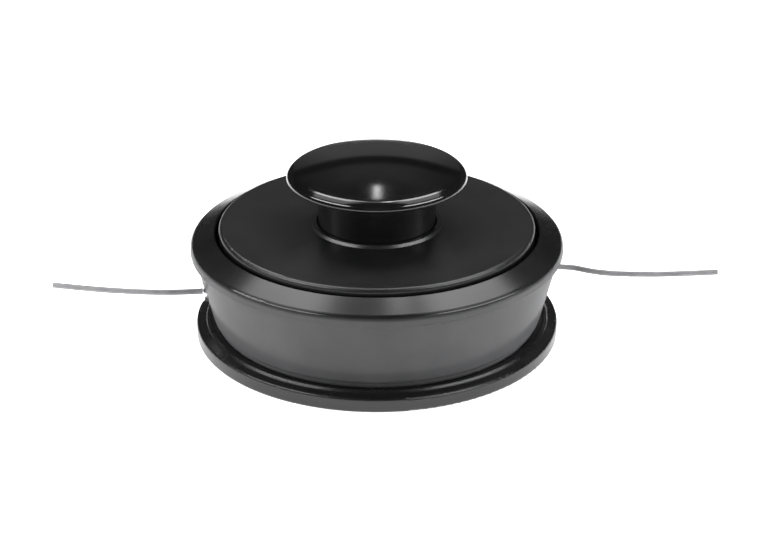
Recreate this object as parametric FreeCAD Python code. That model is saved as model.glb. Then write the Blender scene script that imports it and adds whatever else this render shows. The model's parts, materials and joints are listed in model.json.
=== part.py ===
import FreeCAD, Part
import math
import os

# Bump feed trimmer head, in millimetres. Z is the spin axis, with the base's underside at Z = 0.
# The head stands base down, as on a bench, with the knob on top and the eyelets on the X axis.

V = FreeCAD.Vector
ORIGIN = V(0, 0, 0)
UP = V(0, 0, 1)

# Fits between pieces
running_gap = 0.06
sliding_gap = 0.35
seat_gap = 0.1
slip_gap = 0.15
stop_gap = 0.4

# Bump travel and line feed
bump_travel = 4.5
step_count = 6
rib_angle = 9.0
lug_angle = 7.0
clear_angle = 2.0

# Base flange
base_radius = 53.0
base_rim = 4.2
base_seat = 4.6
base_edge = 0.6
bead_radius = 49.4
bead_width = 1.6
bead_height = 0.7
recess_depth = 1.6
recess_radius = 45.5
boss_radius = 21.0
web_rib_count = 8
web_rib_width = 2.2
peg_circle = 32.0
peg_radius = 2.4
peg_height = 2.0
peg_count = 4

# Drum housing
drum_floor = 2.7
foot_radius = 47.0
foot_height = 1.2
wall_foot_radius = 48.0
wall_top_radius = 52.9
lip_overhang = 1.1
lip_bottom = 26.1
lip_height = 3.0
lip_edge = 0.5
lip_round = 2.0
mouth_radius = 46.8
mouth_rise = 3.0
mouth_edge = 0.4
drum_wall = 2.8
inner_corner = 1.0
collar_inner = 14.6
collar_wall = 2.0
collar_height = 9.7
rib_reach = 2.2
rib_height = 3.0
rib_drop = 0.2

# Drive arbor, its washers and its nut
arbor_flange_flats = 24.0
arbor_flange_thickness = 2.6
arbor_recess = 0.4
shank_radius = 7.0
shank_length = 17.2
drive_thread_radius = 4.32
drive_thread_depth = 12.0
thread_mouth = 0.8
washer_thickness = 1.0
arbor_washer_radius = 13.8
lock_washer_radius = 10.4
lock_washer_thickness = 1.7
lock_washer_split = 1.2
nut_flats = 19.0
nut_height = 6.0
nut_crown = 0.9

# Knob bolt
bolt_thread_radius = 3.0
bolt_thread_length = 6.2
shoulder_radius = 4.0
bolt_head_radius = 6.5
bolt_head_height = 5.5
bolt_head_edge = 0.6
socket_flats = 4.0
socket_depth = 3.0
bolt_washer_radius = 10.5

# Feed spring and its thrust washer
spring_radius = 12.4
spring_wire = 1.6
spring_turns = 5.0
thrust_washer_radius = 14.4

# Bump knob
neck_radius = 17.0
neck_wall = 3.2
neck_floor = 3.0
neck_top = 46.3
neck_edge = 0.5
cap_radius = 25.9
cap_lift = 0.9
cap_edge = 0.8
cap_round = 1.6
cap_shoulder_round = 4.0
cap_shoulder_slope = 50.0
cap_crown_round = 84.0
spigot_length = 4.0
spigot_wall = 2.6
cap_wall = 3.0

# Spool, its bush and the wound line
core_radius = 22.5
core_wall = 1.9
web_thickness = 2.5
lower_flange_gap = 0.5
divider_radius = 42.0
flange_thickness = 1.6
divider_thickness = 1.2
plate_gap = 1.1
plate_proud = 1.6
plate_thickness = 2.4
plate_edge = 1.2
skirt_wall = 1.8
skirt_depth = 2.0
hub_rim_land = 1.3
hub_rim_height = 0.85
hub_rim_slope = 50.0
lug_gap = 0.6
anchor_slot_width = 2.4
anchor_slot_length = 6.0
bush_wall = 2.4
bush_flange_radius = 10.0
bush_flange_thickness = 0.8
coil_outer_radius = 39.0
coil_gap = 0.2

# Eyelets and line
eyelet_height = 15.5
eyelet_bore_radius = 1.2
eyelet_barrel_radius = 2.2
eyelet_head_radius = 3.0
eyelet_head_thickness = 2.0
eyelet_proud = 1.0
eyelet_mouth = 0.8
eyelet_edge = 0.5
line_diameter = 1.65
left_tail_route = [
    (-46.4, 0, 15.5), (-58, 0, 15.5), (-70, 2.9, 15.4), (-82, 6.6, 15.4), (-93.6, 11, 15.6)]
right_tail_route = [
    (46.4, 0, 15.5), (56.5, 0, 15.5), (65.6, -4.6, 14.4), (77.2, -6.7, 14), (89, -8.4, 14),
    (100.7, -9.6, 14.3)]
arc_share = 0.45

# Heights and radii that follow from the sizes above
floor_top = base_seat + drum_floor
foot_top = base_seat + foot_height
wall_foot = foot_top + wall_foot_radius - foot_radius
lip_radius = wall_top_radius + lip_overhang
inner_foot_radius = wall_foot_radius - drum_wall
lip_top = lip_bottom + lip_height
mouth_height = lip_top + mouth_rise
collar_outer = collar_inner + collar_wall
collar_top = floor_top + collar_height
rib_top = collar_top - rib_drop
rib_bottom = rib_top - rib_height
rib_radius = collar_outer + rib_reach
flange_top = arbor_recess + arbor_flange_thickness
arbor_top = flange_top + shank_length
washer_top = floor_top + washer_thickness
lock_washer_top = washer_top + lock_washer_thickness
web_bottom = arbor_top + bump_travel + stop_gap
web_top = web_bottom + web_thickness
neck_bottom = web_top + seat_gap
neck_floor_top = neck_bottom + neck_floor
bolt_washer_bottom = neck_floor_top + seat_gap
bolt_seat = bolt_washer_bottom + washer_thickness
thrust_washer_top = web_bottom - seat_gap
thrust_washer_bottom = thrust_washer_top - washer_thickness
neck_bore = neck_radius - neck_wall
cap_underside = neck_top + cap_lift
spool_bottom = floor_top + bump_travel + stop_gap
spool_bore = core_radius - core_wall
lower_flange_radius = inner_foot_radius - inner_corner - lower_flange_gap
hub_radius = neck_radius + sliding_gap
plate_radius = mouth_radius - plate_gap
plate_top = mouth_height + plate_proud
plate_bottom = plate_top - plate_thickness
chamber_bottom = spool_bottom + flange_thickness
divider_bottom = (chamber_bottom + plate_bottom - divider_thickness) / 2
divider_top = divider_bottom + divider_thickness
bush_bore = shoulder_radius + running_gap
bush_radius = bush_bore + bush_wall
feed_step = 180 / step_count
wall_slope = (wall_top_radius - wall_foot_radius) / (lip_bottom - wall_foot)
inner_slope = (mouth_radius - inner_foot_radius) / (mouth_height - floor_top)
eyelet_wall_radius = wall_foot_radius + wall_slope * (eyelet_height - wall_foot)
eyelet_inner_radius = inner_foot_radius + inner_slope * (eyelet_height - floor_top)
eyelet_tip = eyelet_wall_radius + eyelet_proud
eyelet_seat = eyelet_tip - eyelet_head_thickness


def bend(centre_r, centre_z, radius, start, end):
    """Arc step of a turned outline, by its centre, radius and two angles in degrees."""
    middle = math.radians((start + end) / 2)
    last = math.radians(end)
    return ((centre_r + radius * math.cos(middle), centre_z + radius * math.sin(middle)),
            (centre_r + radius * math.cos(last), centre_z + radius * math.sin(last)))


def turned(start, *steps):
    """Solid of revolution about Z. A step is an end point for a line, or a middle and an end."""
    edges = []
    here = V(start[0], 0, start[1])
    for step in steps + (start,):
        if isinstance(step[0], tuple):
            middle, end = step
            there = V(end[0], 0, end[1])
            edges.append(Part.Arc(here, V(middle[0], 0, middle[1]), there).toShape())
        else:
            there = V(step[0], 0, step[1])
            edges.append(Part.LineSegment(here, there).toShape())
        here = there
    solid = Part.Face(Part.Wire(edges)).revolve(ORIGIN, UP, 360)
    return solid if solid.Volume > 0 else solid.reversed()


def cylinder(radius, bottom, top):
    """Upright cylinder between two heights."""
    return Part.makeCylinder(radius, top - bottom, V(0, 0, bottom))


def ring(inner, outer, bottom, top):
    """Flat ring between two heights."""
    return cylinder(outer, bottom, top).cut(cylinder(inner, bottom, top))


def hexagon(flats, bottom, top):
    """Upright hexagonal prism, by its width across flats."""
    corner = flats / math.sqrt(3)
    angles = [math.radians(60 * i) for i in range(7)]
    points = [V(corner * math.cos(a), corner * math.sin(a), bottom) for a in angles]
    return Part.Face(Part.makePolygon(points)).extrude(V(0, 0, top - bottom))


def sector(inner, outer, bottom, height, start, width):
    """Block between two radii and two angles in degrees."""
    wedge = Part.makeCylinder(outer, height, V(0, 0, bottom), UP, width)
    block = wedge.cut(cylinder(inner, bottom, bottom + height))
    block.rotate(ORIGIN, UP, start)
    return block


def around(shape, count, start=0.0):
    """Copies of a shape, evenly spaced about Z."""
    copies = []
    for i in range(count):
        copy = shape.copy()
        copy.rotate(ORIGIN, UP, start + 360 * i / count)
        copies.append(copy)
    return copies


def base_flange():
    """Moulded disc: bead round the drum's foot, drive pegs, hexagon pocket and a ribbed recess below."""
    bead = bead_width / 2
    disc = turned(
        (0, 0),
        (base_radius - base_edge, 0),
        bend(base_radius - base_edge, base_edge, base_edge, -90, 0),
        (base_radius, base_rim - base_edge),
        bend(base_radius - base_edge, base_rim - base_edge, base_edge, 0, 90),
        (bead_radius + bead, base_seat),
        ((bead_radius, base_seat + bead_height), (bead_radius - bead, base_seat)),
        (0, base_seat))
    recess = ring(boss_radius, recess_radius, 0, recess_depth)
    rib = Part.makeBox(base_radius, web_rib_width, recess_depth, V(0, -web_rib_width / 2, 0))
    recess = recess.cut(around(rib, web_rib_count))
    pocket = hexagon(arbor_flange_flats + 2 * slip_gap, 0, flange_top)
    disc = disc.cut([recess, pocket, cylinder(shank_radius + slip_gap, 0, base_seat)])
    peg = Part.makeCylinder(peg_radius, peg_height, V(peg_circle, 0, base_seat))
    return disc.fuse(around(peg, peg_count, 180 / peg_count)).removeSplitter()


def drum_housing():
    """Moulded drum: flaring wall, lip and bevelled mouth, with the collar that carries the stop ribs."""
    shank_hole = shank_radius + slip_gap
    bevel = math.degrees(math.atan2(mouth_rise, lip_radius - mouth_radius - mouth_edge))
    lip_shoulder = lip_top - lip_round * math.tan(math.radians(90 - bevel) / 2)
    drum = turned(
        (shank_hole, base_seat),
        (foot_radius, base_seat),
        (foot_radius, foot_top),
        (wall_foot_radius, wall_foot),
        (wall_top_radius, lip_bottom),
        (lip_radius - lip_edge, lip_bottom),
        bend(lip_radius - lip_edge, lip_bottom + lip_edge, lip_edge, -90, 0),
        (lip_radius, lip_shoulder),
        bend(lip_radius - lip_round, lip_shoulder, lip_round, 0, 90 - bevel),
        (mouth_radius + mouth_edge, mouth_height),
        (mouth_radius, mouth_height - mouth_edge),
        (inner_foot_radius + inner_slope * inner_corner, floor_top + inner_corner),
        (inner_foot_radius - inner_corner, floor_top),
        (collar_outer, floor_top),
        (collar_outer, collar_top),
        (collar_inner, collar_top),
        (collar_inner, floor_top),
        (shank_hole, floor_top))
    rib = sector(collar_inner + collar_wall / 2, rib_radius, rib_bottom, rib_height, 0, rib_angle)
    drum = drum.fuse(around(rib, step_count)).removeSplitter()
    hole = Part.makeCylinder(peg_radius + slip_gap, drum_floor, V(peg_circle, 0, base_seat))
    bore = Part.makeCylinder(
        eyelet_barrel_radius + running_gap, eyelet_tip - core_radius,
        V(core_radius, 0, eyelet_height), V(1, 0, 0))
    seat = Part.makeCylinder(
        eyelet_head_radius + slip_gap, eyelet_tip, V(eyelet_seat, 0, eyelet_height), V(1, 0, 0))
    cuts = around(hole, peg_count, 180 / peg_count) + around(bore, 2) + around(seat, 2)
    return drum.cut(cuts)


def drive_arbor():
    """Steel arbor: hexagon flange, shank, drive thread below and the bolt's thread on top."""
    flange = hexagon(arbor_flange_flats, arbor_recess, flange_top)
    shank = cylinder(shank_radius, flange_top, arbor_top)
    drive_top = arbor_recess + drive_thread_depth
    drive_bore = cylinder(drive_thread_radius, arbor_recess, drive_top)
    mouth = Part.makeCone(
        drive_thread_radius + thread_mouth, drive_thread_radius, thread_mouth, V(0, 0, arbor_recess))
    bolt_bore = cylinder(
        bolt_thread_radius + running_gap, arbor_top - bolt_thread_length - stop_gap, arbor_top)
    return flange.fuse(shank).cut([drive_bore, mouth, bolt_bore])


def arbor_washer():
    """Plain washer on the drum's floor, which is the spring's lower seat too."""
    return ring(shank_radius + slip_gap, arbor_washer_radius, floor_top, washer_top)


def arbor_lock_washer():
    """Split spring washer under the nut."""
    washer = ring(shank_radius + slip_gap, lock_washer_radius, washer_top, lock_washer_top)
    split = Part.makeBox(
        lock_washer_radius, lock_washer_split, lock_washer_thickness,
        V(0, -lock_washer_split / 2, washer_top))
    return washer.cut(split)


def arbor_nut():
    """Thin hexagon nut with crowned corners."""
    top = lock_washer_top + nut_height
    corner = nut_flats / math.sqrt(3)
    crown = turned(
        (0, lock_washer_top),
        (corner, lock_washer_top),
        (corner, top - nut_crown),
        (nut_flats / 2, top),
        (0, top))
    nut = hexagon(nut_flats, lock_washer_top, top).common(crown)
    return nut.cut(cylinder(shank_radius + running_gap, lock_washer_top, top))


def knob_bolt():
    """Shoulder bolt that holds the knob and guides the spool."""
    head_top = bolt_seat + bolt_head_height
    bolt = turned(
        (0, arbor_top - bolt_thread_length),
        (bolt_thread_radius, arbor_top - bolt_thread_length),
        (bolt_thread_radius, arbor_top),
        (shoulder_radius, arbor_top),
        (shoulder_radius, bolt_seat),
        (bolt_head_radius, bolt_seat),
        (bolt_head_radius, head_top - bolt_head_edge),
        (bolt_head_radius - bolt_head_edge, head_top),
        (0, head_top))
    return bolt.cut(hexagon(socket_flats, head_top - socket_depth, head_top))


def knob_bolt_washer():
    """Washer under the bolt's head, which stops the knob at the top of its travel."""
    return ring(shoulder_radius + running_gap, bolt_washer_radius, bolt_washer_bottom, bolt_seat)


def spool_bush():
    """Flanged bush in the spool's web, which runs on the bolt's shoulder."""
    flange = ring(bush_bore, bush_flange_radius, web_top - bush_flange_thickness, web_top)
    return ring(bush_bore, bush_radius, web_bottom, web_top).fuse(flange).removeSplitter()


def feed_spring():
    """Round wire compression spring between the arbor washer and the thrust washer."""
    wire_radius = spring_wire / 2
    height = thrust_washer_bottom - washer_top - spring_wire - 2 * seat_gap
    path = Part.makeHelix(height / spring_turns, height, spring_radius)
    section = Part.Wire(Part.makeCircle(wire_radius, V(spring_radius, 0, 0), V(0, 1, 0)))
    spring = Part.Wire(path).makePipeShell([section], True, True)
    spring.translate(V(0, 0, washer_top + wire_radius + seat_gap))
    return spring


def spring_thrust_washer():
    """Washer that lets the spool turn on the spring."""
    return ring(shank_radius + stop_gap, thrust_washer_radius, thrust_washer_bottom, thrust_washer_top)


def knob_sleeve():
    """Neck of the bump knob: a cup that slides on the bolt and in the spool's hub."""
    return turned(
        (shoulder_radius + slip_gap, neck_bottom),
        (neck_radius - neck_edge, neck_bottom),
        (neck_radius, neck_bottom + neck_edge),
        (neck_radius, neck_top),
        (neck_bore, neck_top),
        (neck_bore, neck_floor_top),
        (shoulder_radius + slip_gap, neck_floor_top))


def bump_cap():
    """Mushroom disc: crown, shoulder and rim as tangent arcs, over a spigot that closes the neck."""
    spigot_radius = neck_bore - slip_gap
    spigot_bore = spigot_radius - spigot_wall
    slope = math.radians(cap_shoulder_slope)
    rim_radius = cap_radius - cap_round
    rim_height = cap_underside + cap_edge
    ring_radius = rim_radius - (cap_shoulder_round - cap_round) * math.sin(slope)
    ring_height = rim_height - (cap_shoulder_round - cap_round) * math.cos(slope)
    crown_end = math.acos(ring_radius / (cap_crown_round - cap_shoulder_round))
    crown_height = ring_height - (cap_crown_round - cap_shoulder_round) * math.sin(crown_end)
    crown_top = crown_height + cap_crown_round
    return turned(
        (0, crown_top),
        bend(0, crown_height, cap_crown_round, 90, math.degrees(crown_end)),
        bend(ring_radius, ring_height, cap_shoulder_round, math.degrees(crown_end), 90 - cap_shoulder_slope),
        bend(rim_radius, rim_height, cap_round, 90 - cap_shoulder_slope, 0),
        bend(cap_radius - cap_edge, rim_height, cap_edge, 0, -90),
        (neck_radius, neck_top),
        (spigot_radius, neck_top),
        (spigot_radius, neck_top - spigot_length),
        (spigot_bore, neck_top - spigot_length),
        (spigot_bore, crown_top - cap_wall),
        (0, crown_top - cap_wall))


def spool():
    """Two chamber spool: its outer flange is the plate in the mouth, its bore carries the stop lugs."""
    bush_hole = bush_radius + running_gap
    bush_recess = bush_flange_radius + running_gap
    rim_run = hub_rim_height / math.tan(math.radians(hub_rim_slope))
    body = turned(
        (bush_hole, web_bottom),
        (spool_bore, web_bottom),
        (spool_bore, spool_bottom),
        (lower_flange_radius, spool_bottom),
        (lower_flange_radius, chamber_bottom),
        (core_radius, chamber_bottom),
        (core_radius, divider_bottom),
        (divider_radius, divider_bottom),
        (divider_radius, divider_top),
        (core_radius, divider_top),
        (core_radius, plate_bottom),
        (plate_radius - skirt_wall, plate_bottom),
        (plate_radius - skirt_wall, plate_bottom - skirt_depth),
        (plate_radius, plate_bottom - skirt_depth),
        (plate_radius, plate_top - plate_edge),
        bend(plate_radius - plate_edge, plate_top - plate_edge, plate_edge, 0, 90),
        (hub_radius + hub_rim_land + rim_run, plate_top),
        (hub_radius + hub_rim_land, plate_top + hub_rim_height),
        (hub_radius, plate_top + hub_rim_height),
        (hub_radius, web_top),
        (bush_recess, web_top),
        (bush_recess, web_top - bush_flange_thickness),
        (bush_hole, web_top - bush_flange_thickness))
    lug_radius = collar_outer + lug_gap
    lug_root = spool_bore + core_wall / 2
    held = rib_angle + feed_step * rib_height / bump_travel + clear_angle
    caught = feed_step * (1 - rib_height / bump_travel) - lug_angle - clear_angle
    hold_lug = sector(lug_radius, lug_root, rib_bottom, rib_height, held, lug_angle)
    catch_lug = sector(lug_radius, lug_root, rib_bottom + bump_travel, rib_height, caught, lug_angle)
    body = body.fuse(around(hold_lug, step_count) + around(catch_lug, step_count)).removeSplitter()
    slot = Part.makeBox(
        anchor_slot_length, anchor_slot_width, divider_thickness,
        V(divider_radius - anchor_slot_length, -anchor_slot_width / 2, divider_bottom))
    return body.cut(around(slot, 2))


def line_coil(bottom, top):
    """Line wound in one chamber, with the turns of its outer layer showing."""
    turns = int((top - bottom - 2 * coil_gap) / line_diameter)
    lowest = (bottom + top - turns * line_diameter) / 2
    radius = line_diameter / 2
    valley = coil_outer_radius - radius
    inner = core_radius + coil_gap
    steps = [(valley, lowest)]
    for i in range(turns):
        centre = lowest + (i + 0.5) * line_diameter
        steps.append(((coil_outer_radius, centre), (valley, centre + radius)))
    steps.append((inner, lowest + turns * line_diameter))
    return turned((inner, lowest), *steps)


def line_coil_lower():
    """Line in the chamber next to the drum's floor."""
    return line_coil(chamber_bottom, divider_bottom)


def line_coil_upper():
    """Line in the chamber under the plate."""
    return line_coil(divider_top, plate_bottom)


def eyelet(turn):
    """Flanged metal eyelet in the drum's wall, with a rounded mouth, turned about Z to its side."""
    shape = turned(
        (eyelet_bore_radius, eyelet_inner_radius),
        (eyelet_barrel_radius, eyelet_inner_radius),
        (eyelet_barrel_radius, eyelet_seat),
        (eyelet_head_radius, eyelet_seat),
        (eyelet_head_radius, eyelet_tip - eyelet_edge),
        bend(eyelet_head_radius - eyelet_edge, eyelet_tip - eyelet_edge, eyelet_edge, 0, 90),
        (eyelet_bore_radius + eyelet_mouth, eyelet_tip),
        bend(eyelet_bore_radius + eyelet_mouth, eyelet_tip - eyelet_mouth, eyelet_mouth, 90, 180))
    shape.rotate(ORIGIN, V(0, 1, 0), 90)
    shape.translate(V(0, 0, eyelet_height))
    shape.rotate(ORIGIN, UP, turn)
    return shape


def eyelet_left():
    """Eyelet on the -X side."""
    return eyelet(180)


def eyelet_right():
    """Eyelet on the +X side."""
    return eyelet(0)


def line_tail(name, route):
    """Free end of the line: straight runs joined by the largest tangent arcs that they allow."""
    points = [V(*p) for p in route]
    edges = []
    here = points[0]
    for before, corner, after in zip(points, points[1:], points[2:]):
        back = before - corner
        ahead = after - corner
        reach = arc_share * min(back.Length, ahead.Length)
        half_turn = (math.pi - back.getAngle(ahead)) / 2
        radius = reach / math.tan(half_turn)
        back.normalize()
        ahead.normalize()
        inward = back + ahead
        inward.normalize()
        middle = corner + inward * (radius / math.cos(half_turn) - radius)
        start = corner + back * reach
        end = corner + ahead * reach
        edges.append(Part.LineSegment(here, start).toShape())
        edges.append(Part.Arc(start, middle, end).toShape())
        here = end
        print(name, "bend radius", round(radius, 1))
    edges.append(Part.LineSegment(here, points[-1]).toShape())
    path = Part.Wire(edges)
    section = Part.Wire(Part.makeCircle(line_diameter / 2, points[0], points[1] - points[0]))
    tail = path.makePipeShell([section], True, False)
    swept = math.pi * line_diameter ** 2 / 4 * path.Length
    print(name, "length", round(path.Length, 2))
    print(name, "volume over section times length", round(tail.Volume / swept, 4))
    return tail


def line_tail_left():
    """Line through the left eyelet."""
    return line_tail("line_tail_left", left_tail_route)


def line_tail_right():
    """Line through the right eyelet."""
    return line_tail("line_tail_right", right_tail_route)


PIECES = [
    base_flange, drum_housing, drive_arbor, arbor_washer, arbor_lock_washer, arbor_nut,
    knob_bolt, knob_bolt_washer, spool_bush, feed_spring, spring_thrust_washer,
    knob_sleeve, bump_cap, spool, line_coil_lower, line_coil_upper,
    eyelet_left, eyelet_right, line_tail_left, line_tail_right]


def main():
    """Write each piece to its own file."""
    os.makedirs("parts", exist_ok=True)
    for piece in PIECES:
        shape = piece()
        shape.exportStep("parts/" + piece.__name__ + ".step")


main()
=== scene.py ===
import bpy
import json
import math
from mathutils import Matrix, Vector


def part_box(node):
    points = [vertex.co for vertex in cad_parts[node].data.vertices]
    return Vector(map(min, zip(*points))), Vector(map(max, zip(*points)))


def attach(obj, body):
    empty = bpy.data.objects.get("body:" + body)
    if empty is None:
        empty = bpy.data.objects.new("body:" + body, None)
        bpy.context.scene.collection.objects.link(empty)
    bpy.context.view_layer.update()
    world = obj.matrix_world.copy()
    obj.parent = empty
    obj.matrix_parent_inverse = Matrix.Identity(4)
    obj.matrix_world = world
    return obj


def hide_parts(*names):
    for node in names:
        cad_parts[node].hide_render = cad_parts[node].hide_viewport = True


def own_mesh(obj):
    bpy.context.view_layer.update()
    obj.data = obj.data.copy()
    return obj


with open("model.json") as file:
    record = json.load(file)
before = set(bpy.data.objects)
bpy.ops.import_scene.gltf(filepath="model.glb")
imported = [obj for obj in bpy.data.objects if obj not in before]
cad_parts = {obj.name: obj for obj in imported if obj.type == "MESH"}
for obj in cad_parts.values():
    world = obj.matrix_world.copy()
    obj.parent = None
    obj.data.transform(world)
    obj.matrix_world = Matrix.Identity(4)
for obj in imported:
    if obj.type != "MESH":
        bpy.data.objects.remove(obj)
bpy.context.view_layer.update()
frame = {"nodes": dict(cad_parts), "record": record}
nodes = frame["nodes"]
scene = bpy.context.scene
scene.view_settings.view_transform = "Standard"

# Camera, as fitted to the photograph
image_width = 760
focal_pixels = 2046
sensor_width = 36.0
camera_distance = 0.594
camera_azimuth = math.radians(-9.5)
camera_elevation = math.radians(25.3)
camera_near = 0.01
aim_height = 0.0275
aim_right = -0.0009
aim_up = 0.01123

# Lights in pairs, left and right: start and end as right, back and up of the part, then width and radiance
paired_lamps = {
    "strip": ((0.17, 0.3, 1.0), (0.52, 0.74, 1.0), 0.27, 9),
    "fill": ((0.3, -0.06, 1.0), (0.83, 0.42, 1.0), 0.5, 2.4),
    "side": ((0.36, -0.4, 0.63), (1.0, 0.1, 0.63), 0.14, 15),
    "cheek": ((1.05, -0.75, 0.13), (1.15, 0.15, 0.13), 0.24, 58)}

# Single lights, given the same way
single_lamps = {
    "slim_lamp": ((0.0, 0.62, 0.95), (0.0, 0.86, 0.95), 0.035, 11),
    "top_panel": ((-0.12, 0.31, 1.0), (0.14, 0.31, 1.0), 0.12, 2.5),
    "top_patch": ((0.05, 0.3, 0.97), (0.11, 0.3, 0.97), 0.08, 28)}

# Surround: height of the direction and brightness there, and how it fades to the sides
sky_levels = [
    (0.13, 0.17), (0.33, 0.25), (0.345, 0.01), (0.44, 0.01), (0.49, 0.14), (0.62, 0.16), (0.75, 0.06)]
horizon_level = 0.12
zenith_level = 0.06
fade_start = 0.12
fade_end = 0.3
fade_least = 0.1

# Floor: a table under the part, and the rest of the floor
table_half = 0.42
table_height = -0.0002
table_glow = 0.75
surround_half = 60.0
surround_height = -0.0004
surround_glow = 1.2
floor_level = 0.9
floor_roughness = 0.7

# Knob disc, and the steps along each arc of its outline
disc_underside = 0.0472
disc_edge = 0.0008
rim_round = 0.0016
shoulder_round = 0.004
shoulder_slope = 50
crown_round = 0.084
disc_wall = 0.003
neck_radius = 0.017
neck_top = 0.0463
spigot_radius = 0.01365
spigot_bore = 0.01105
crown_steps = 24
shoulder_steps = 16
rim_steps = 10
edge_steps = 6
turned_segments = 192
sharp_angle = 30

# Moulded edges look rounded by this much, and the base's rim by more
edge_round = 0.0003
rim_rounding = 0.001
edge_samples = 10

# Plastics: noise cells per metre for the mottling and the grain, and the grain's bump
mottle_scale = 90
mottle_detail = 3
grain_scale = 2600
grain_height = 0.00003
grain_detail = 2
grain_strength = 0.1
plastic_ior = 1.5

# Drum: height where its bevel starts, half the blend there, and its thin gloss
bevel_foot = 0.0286
bevel_blend = 0.0005
drum_ior = 1.25
drum_coat = 0.25
drum_coat_roughness = 0.2

# Nodes whose plastic looks unlike the rest of their slot; the drum's lighter wall is painted light
own_finish = {"base_flange": "base_plastic", "drum_housing": "drum_plastic"}

# Line tails, the routes of the CAD tubes
line_diameter = 0.00165
left_route = [
    (-0.0464, 0, 0.0155), (-0.058, 0, 0.0155), (-0.070, 0.0029, 0.0154), (-0.082, 0.0066, 0.0154),
    (-0.0936, 0.011, 0.0156)]
right_route = [
    (0.0464, 0, 0.0155), (0.0565, 0, 0.0155), (0.0656, -0.0046, 0.0144), (0.0772, -0.0067, 0.014),
    (0.089, -0.0084, 0.014), (0.1007, -0.0096, 0.0143)]
left_length = 0.0488
right_length = 0.0556


def camera_axes():
    """Right, up and forward directions of the photograph's camera."""
    a, e = camera_azimuth, camera_elevation
    right = Vector((math.cos(a), math.sin(a), 0))
    up = Vector((-math.sin(a) * math.sin(e), math.cos(a) * math.sin(e), math.cos(e)))
    forward = Vector((-math.sin(a) * math.cos(e), math.cos(a) * math.cos(e), -math.sin(e)))
    return right, up, forward


def add_camera():
    """Camera at the photograph's viewing angle."""
    right, up, forward = camera_axes()
    camera = bpy.data.cameras.new("camera")
    camera.sensor_width = sensor_width
    camera.lens = focal_pixels * sensor_width / image_width
    camera.clip_start = camera_near
    rig = bpy.data.objects.new("camera", camera)
    place = Vector((0, 0, aim_height)) - right * aim_right - up * aim_up - forward * camera_distance
    turn = Matrix((right, up, -forward)).transposed().to_4x4()
    rig.matrix_world = Matrix.Translation(place) @ turn
    scene.collection.objects.link(rig)
    scene.camera = rig


def new_material(name):
    """Node material: itself, its nodes, its links and its Principled shader."""
    material = bpy.data.materials.new(name)
    material.use_nodes = True
    tree = material.node_tree
    return material, tree.nodes, tree.links, tree.nodes["Principled BSDF"]


def add_noise(tree_nodes, links, scale, detail):
    """Noise in the part's own frame, at a scale in cells per metre."""
    where = tree_nodes.new("ShaderNodeTexCoord")
    noise = tree_nodes.new("ShaderNodeTexNoise")
    noise.inputs["Scale"].default_value = scale
    noise.inputs["Detail"].default_value = detail
    links.new(where.outputs["Object"], noise.inputs["Vector"])
    return noise.outputs["Fac"]


def vary(tree_nodes, links, source, low, high, target):
    """Feed a socket with noise between two values."""
    span = tree_nodes.new("ShaderNodeMapRange")
    span.inputs["To Min"].default_value = low
    span.inputs["To Max"].default_value = high
    links.new(source, span.inputs["Value"])
    links.new(span.outputs["Result"], target)


def add_bump(tree_nodes, links, shader, source, strength, distance, rounding=edge_round):
    """Bump from a noise, in metres of height, over edges that look rounded."""
    bump = tree_nodes.new("ShaderNodeBump")
    bump.inputs["Strength"].default_value = strength
    bump.inputs["Distance"].default_value = distance
    edge = tree_nodes.new("ShaderNodeBevel")
    edge.samples = edge_samples
    edge.inputs["Radius"].default_value = rounding
    links.new(edge.outputs["Normal"], bump.inputs["Normal"])
    links.new(source, bump.inputs["Height"])
    links.new(bump.outputs["Normal"], shader.inputs["Normal"])


def blend_colours(tree_nodes, links, source, first, second, target):
    """Feed a colour socket with a noise between two colours."""
    ramp = tree_nodes.new("ShaderNodeValToRGB")
    ramp.color_ramp.elements[0].color = (*first, 1)
    ramp.color_ramp.elements[1].color = (*second, 1)
    ramp.color_ramp.elements[0].position = 0.3
    ramp.color_ramp.elements[1].position = 0.7
    links.new(source, ramp.inputs["Fac"])
    links.new(ramp.outputs["Color"], target)


def moulded_plastic(
        name, dark, light, rough_low, rough_high, scale=grain_scale, height=grain_height, rounding=edge_round):
    """Black moulded plastic: slight mottling, uneven gloss and a fine spark-eroded grain."""
    material, tree_nodes, links, shader = new_material(name)
    shader.inputs["IOR"].default_value = plastic_ior
    cloud = add_noise(tree_nodes, links, mottle_scale, mottle_detail)
    blend_colours(tree_nodes, links, cloud, dark, light, shader.inputs["Base Color"])
    vary(tree_nodes, links, cloud, rough_low, rough_high, shader.inputs["Roughness"])
    grain = add_noise(tree_nodes, links, scale, grain_detail)
    add_bump(tree_nodes, links, shader, grain, grain_strength, height, rounding)
    return material


def above_lip(tree_nodes, links):
    """Nought on the drum's wall and one on its bevel, by height."""
    where = tree_nodes.new("ShaderNodeTexCoord")
    split = tree_nodes.new("ShaderNodeSeparateXYZ")
    step = tree_nodes.new("ShaderNodeMapRange")
    step.inputs["From Min"].default_value = bevel_foot - bevel_blend
    step.inputs["From Max"].default_value = bevel_foot + bevel_blend
    links.new(where.outputs["Object"], split.inputs["Vector"])
    links.new(split.outputs["Z"], step.inputs["Value"])
    return step.outputs["Result"]


def mix_colours(tree_nodes, links, factor, target):
    """Mix node for colours, led to a socket: its first and second inputs."""
    mix = tree_nodes.new("ShaderNodeMix")
    mix.data_type = "RGBA"
    links.new(factor, mix.inputs[0])
    links.new(mix.outputs[2], target)
    return mix.inputs[6], mix.inputs[7]


def mix_values(tree_nodes, links, factor, target):
    """Mix node for numbers, led to a socket: its first and second inputs."""
    mix = tree_nodes.new("ShaderNodeMix")
    links.new(factor, mix.inputs[0])
    links.new(mix.outputs[0], target)
    return mix.inputs[2], mix.inputs[3]


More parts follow.
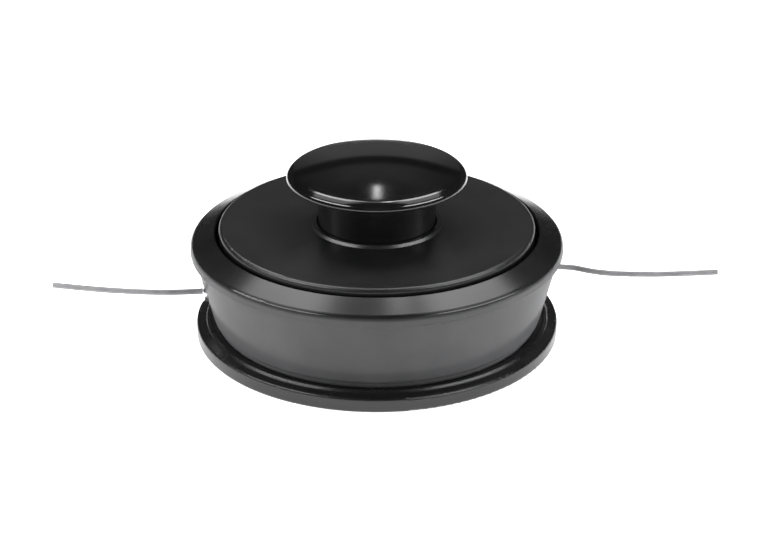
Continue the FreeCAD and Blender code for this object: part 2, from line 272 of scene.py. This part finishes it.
def drum_plastic(name):
    """Drum's plastic: a matt wall and a smoother bevel, with a thin gloss over both. The wall's lighter grey
    is painted light on the same black plastic as the bevel.
    """
    material, tree_nodes, links, shader = new_material(name)
    shader.inputs["IOR"].default_value = drum_ior
    shader.inputs["Coat Weight"].default_value = drum_coat
    shader.inputs["Coat Roughness"].default_value = drum_coat_roughness
    cloud = add_noise(tree_nodes, links, mottle_scale, mottle_detail)
    bevel = above_lip(tree_nodes, links)
    # The wall's lighter grey is painted light: the same black plastic as the bevel, lightened where light
    # falls on the wall.
    painted_light_wall_colour, bevel_colour = mix_colours(tree_nodes, links, bevel, shader.inputs["Base Color"])
    blend_colours(tree_nodes, links, cloud, grey(0.025), grey(0.031), painted_light_wall_colour)
    blend_colours(tree_nodes, links, cloud, grey(0.004), grey(0.006), bevel_colour)
    wall_roughness, bevel_roughness = mix_values(tree_nodes, links, bevel, shader.inputs["Roughness"])
    vary(tree_nodes, links, cloud, 0.74, 0.82, wall_roughness)
    vary(tree_nodes, links, cloud, 0.18, 0.22, bevel_roughness)
    grain = add_noise(tree_nodes, links, grain_scale, grain_detail)
    add_bump(tree_nodes, links, shader, grain, grain_strength, grain_height)
    return material


def metal(name, colour, shade, rough_low, rough_high, scale):
    """Bare metal with slightly uneven polish."""
    material, tree_nodes, links, shader = new_material(name)
    shader.inputs["Metallic"].default_value = 1.0
    cloud = add_noise(tree_nodes, links, scale, 4)
    blend_colours(tree_nodes, links, cloud, shade, colour, shader.inputs["Base Color"])
    vary(tree_nodes, links, cloud, rough_low, rough_high, shader.inputs["Roughness"])
    return material


def nylon(name, dark, light):
    """Extruded nylon line, slightly translucent, with faint streaks."""
    material, tree_nodes, links, shader = new_material(name)
    shader.inputs["IOR"].default_value = 1.53
    shader.inputs["Subsurface Weight"].default_value = 0.25
    shader.inputs["Subsurface Radius"].default_value = (0.0006, 0.0006, 0.0006)
    streak = add_noise(tree_nodes, links, 260, 3)
    blend_colours(tree_nodes, links, streak, dark, light, shader.inputs["Base Color"])
    vary(tree_nodes, links, streak, 0.28, 0.42, shader.inputs["Roughness"])
    add_bump(tree_nodes, links, shader, add_noise(tree_nodes, links, 900, 2), 0.2, 0.00004)
    return material


def grey(level, tint=1.03):
    """Near neutral colour, a touch cool."""
    return (level, level, level * tint)


def make_materials():
    """One material for each finish on the part."""
    return {
        "black_plastic": moulded_plastic("black_plastic", grey(0.004), grey(0.006), 0.29, 0.36),
        "base_plastic": moulded_plastic(
            "base_plastic", grey(0.002), grey(0.003), 0.24, 0.3, rounding=rim_rounding),
        "drum_plastic": drum_plastic("drum_plastic"),
        "knob_plastic": moulded_plastic(
            "knob_plastic", grey(0.002), grey(0.0035), 0.1, 0.13, scale=3200, height=0.00001),
        "steel": metal("steel", grey(0.62), grey(0.5), 0.28, 0.4, 300),
        "spring_steel": metal("spring_steel", grey(0.42), grey(0.3), 0.3, 0.45, 400),
        "bush_bronze": metal("bush_bronze", (0.62, 0.43, 0.2), (0.5, 0.33, 0.14), 0.3, 0.42, 300),
        "eyelet_metal": metal("eyelet_metal", grey(0.96), grey(0.9), 0.2, 0.3, 500),
        "nylon_line": nylon("nylon_line", grey(0.11), grey(0.15))}


def paint_nodes(materials):
    """Give every CAD node its finish."""
    for part in frame["record"]["subparts"]:
        node = nodes[part["node"]]
        finish = own_finish.get(part["node"], part["material_slot"])
        node.data.materials.clear()
        node.data.materials.append(materials[finish])


def arc(centre, radius, start, end, count):
    """Points of an arc in the outline's plane, by its angles from the axis in degrees."""
    angles = [math.radians(start + (end - start) * i / count) for i in range(count + 1)]
    return [(centre[0] + radius * math.sin(a), centre[1] + radius * math.cos(a)) for a in angles]


def lathe(name, outline, material, segments=turned_segments):
    """Closed outline of radius and height, turned about Z. Points on the axis become one vertex."""
    points, faces, rings = [], [], []
    for radius, height in outline:
        count = segments if radius > 1e-9 else 1
        rings.append([len(points) + i % count for i in range(segments)])
        for i in range(count):
            turn = 2 * math.pi * i / segments
            points.append((radius * math.cos(turn), radius * math.sin(turn), height))
    for ring, following in zip(rings, rings[1:] + rings[:1]):
        for i in range(segments):
            j = (i + 1) % segments
            corners = dict.fromkeys((ring[i], ring[j], following[j], following[i]))
            if len(corners) > 2:
                faces.append(tuple(corners))
    mesh = bpy.data.meshes.new(name)
    mesh.from_pydata(points, [], faces)
    for face in mesh.polygons:
        face.use_smooth = True
    mesh.set_sharp_from_angle(angle=math.radians(sharp_angle))
    mesh.materials.append(material)
    piece = bpy.data.objects.new(name, mesh)
    scene.collection.objects.link(piece)
    return piece


def add_knob_disc(material):
    """Mushroom disc: crown, shoulder and rim as tangent arcs, over the spigot that closes the neck."""
    low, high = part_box("bump_cap")
    disc_radius = high[0]
    shoulder_tilt = math.radians(shoulder_slope)
    rim = (disc_radius - rim_round, disc_underside + disc_edge)
    reach = shoulder_round - rim_round
    shoulder = (rim[0] - reach * math.sin(shoulder_tilt), rim[1] - reach * math.cos(shoulder_tilt))
    crown_tilt = math.asin(shoulder[0] / (crown_round - shoulder_round))
    crown = (0, shoulder[1] - (crown_round - shoulder_round) * math.cos(crown_tilt))
    crown_slope = math.degrees(crown_tilt)
    top = crown[1] + crown_round
    outline = arc(crown, crown_round, 0, crown_slope, crown_steps)
    outline += arc(shoulder, shoulder_round, crown_slope, shoulder_slope, shoulder_steps)[1:]
    outline += arc(rim, rim_round, shoulder_slope, 90, rim_steps)[1:]
    outline += arc((disc_radius - disc_edge, rim[1]), disc_edge, 90, 180, edge_steps)[1:]
    outline += [
        (neck_radius, neck_top), (spigot_radius, neck_top), (spigot_radius, low[2]), (spigot_bore, low[2]),
        (spigot_bore, top - disc_wall), (0, top - disc_wall)]
    disc = lathe("knob_disc", outline, material)
    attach(disc, "knob")
    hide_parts("bump_cap")


def add_spring(material):
    """Feed spring, a copy of its CAD solid, carried by the housing."""
    spring = bpy.data.objects.new("coil_spring", nodes["feed_spring"].data.copy())
    scene.collection.objects.link(spring)
    spring.data.materials.clear()
    spring.data.materials.append(material)
    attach(spring, "housing")
    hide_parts("feed_spring")
    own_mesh(spring)


def line_tail(name, route, material):
    """Free end of the line, one smooth curve on its route."""
    curve = bpy.data.curves.new(name, "CURVE")
    curve.dimensions = "3D"
    curve.bevel_depth = line_diameter / 2
    curve.bevel_resolution = 6
    curve.resolution_u = 16
    curve.use_fill_caps = True
    spline = curve.splines.new("NURBS")
    spline.points.add(len(route) - 1)
    for point, place in zip(spline.points, route):
        point.co = (*place, 1)
    spline.order_u = 3
    spline.use_endpoint_u = True
    curve.materials.append(material)
    tail = bpy.data.objects.new(name, curve)
    scene.collection.objects.link(tail)
    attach(tail, "housing")
    return tail


def add_tails(material):
    """Both line tails, in place of their CAD tubes."""
    for side, route, length in (("left", left_route, left_length), ("right", right_route, right_length)):
        tail = line_tail("cut_line_" + side, route, material)
        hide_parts("line_tail_" + side)


def softbox(name, start, end, width, radiance):
    """Long soft light between two points, each given as right, back and up of the part from the camera."""
    right, up, forward = camera_axes()
    back = Vector((forward.x, forward.y, 0)).normalized()
    ends = [right * place[0] + back * place[1] + Vector((0, 0, place[2])) for place in (start, end)]
    light = bpy.data.lights.new(name, "AREA")
    light.shape = "RECTANGLE"
    light.size = width
    light.size_y = (ends[1] - ends[0]).length
    light.energy = radiance * math.pi * light.size * light.size_y
    lamp = bpy.data.objects.new(name, light)
    middle = (ends[0] + ends[1]) / 2
    along = (ends[1] - ends[0]).normalized()
    away = (middle - along * middle.dot(along)).normalized()
    turn = Matrix((along.cross(away), along, away)).transposed().to_4x4()
    lamp.matrix_world = Matrix.Translation(middle) @ turn
    scene.collection.objects.link(lamp)
    return lamp


def add_lights():
    """All the lights. The cheeks light the wall but aren't mirrored in the part."""
    for side, sign in (("left", -1), ("right", 1)):
        for name, (start, end, width, radiance) in paired_lamps.items():
            ends = [(sign * right, back, up) for right, back, up in (start, end)]
            lamp = softbox(name + "_" + side, ends[0], ends[1], width, radiance)
            lamp.visible_glossy = name != "cheek"
    for name, (start, end, width, radiance) in single_lamps.items():
        softbox(name, start, end, width, radiance)


def add_world():
    """Dim surround, by height, that fades to the left and right of the photograph's view."""
    world = bpy.data.worlds.new("studio")
    world.use_nodes = True
    scene.world = world
    tree_nodes, links = world.node_tree.nodes, world.node_tree.links
    background = tree_nodes["Background"]
    where = tree_nodes.new("ShaderNodeTexCoord")
    split = tree_nodes.new("ShaderNodeSeparateXYZ")
    ramp = tree_nodes.new("ShaderNodeValToRGB")
    elements = ramp.color_ramp.elements
    elements[0].position = 0.0
    elements[0].color = (horizon_level, horizon_level, horizon_level, 1)
    elements[1].position = 1.0
    elements[1].color = (zenith_level, zenith_level, zenith_level, 1)
    for position, level in sky_levels:
        step = elements.new(position)
        step.color = (level, level, level, 1)
    links.new(where.outputs["Generated"], split.inputs["Vector"])
    links.new(split.outputs["Z"], ramp.inputs["Fac"])
    links.new(ramp.outputs["Color"], background.inputs["Color"])
    across = tree_nodes.new("ShaderNodeVectorMath")
    across.operation = "DOT_PRODUCT"
    across.inputs[1].default_value = camera_axes()[0]
    size = tree_nodes.new("ShaderNodeMath")
    size.operation = "ABSOLUTE"
    fade = tree_nodes.new("ShaderNodeMapRange")
    fade.inputs["From Min"].default_value = fade_start
    fade.inputs["From Max"].default_value = fade_end
    fade.inputs["To Min"].default_value = 1.0
    fade.inputs["To Max"].default_value = fade_least
    links.new(where.outputs["Generated"], across.inputs[0])
    links.new(across.outputs["Value"], size.inputs[0])
    links.new(size.outputs[0], fade.inputs["Value"])
    links.new(fade.outputs["Result"], background.inputs["Strength"])


def floor_square(name, half, height, material):
    """Flat square of floor, by half its side."""
    mesh = bpy.data.meshes.new(name)
    corners = [(-half, -half, height), (half, -half, height), (half, half, height), (-half, half, height)]
    mesh.from_pydata(corners, [], [(0, 1, 2, 3)])
    mesh.materials.append(material)
    square = bpy.data.objects.new(name, mesh)
    scene.collection.objects.link(square)
    return square


def floor_material(name, glow):
    """Plain pale floor that glows a little."""
    material, _, _, shader = new_material(name)
    shader.inputs["Base Color"].default_value = (floor_level, floor_level, floor_level, 1)
    shader.inputs["Roughness"].default_value = floor_roughness
    shader.inputs["Emission Color"].default_value = (1, 1, 1, 1)
    shader.inputs["Emission Strength"].default_value = glow
    return material


def add_floor():
    """Table under the base, and a floor past it that isn't mirrored in the part."""
    floor_square("table", table_half, table_height, floor_material("table", table_glow))
    pale = floor_material("surround", surround_glow)
    surround = floor_square("surround", surround_half, surround_height, pale)
    surround.visible_glossy = False
    surround.visible_diffuse = False


add_camera()
materials = make_materials()
paint_nodes(materials)
add_tails(materials["nylon_line"])
add_knob_disc(materials["knob_plastic"])
add_spring(materials["spring_steel"])
add_lights()
add_world()
add_floor()

bpy.context.view_layer.update()
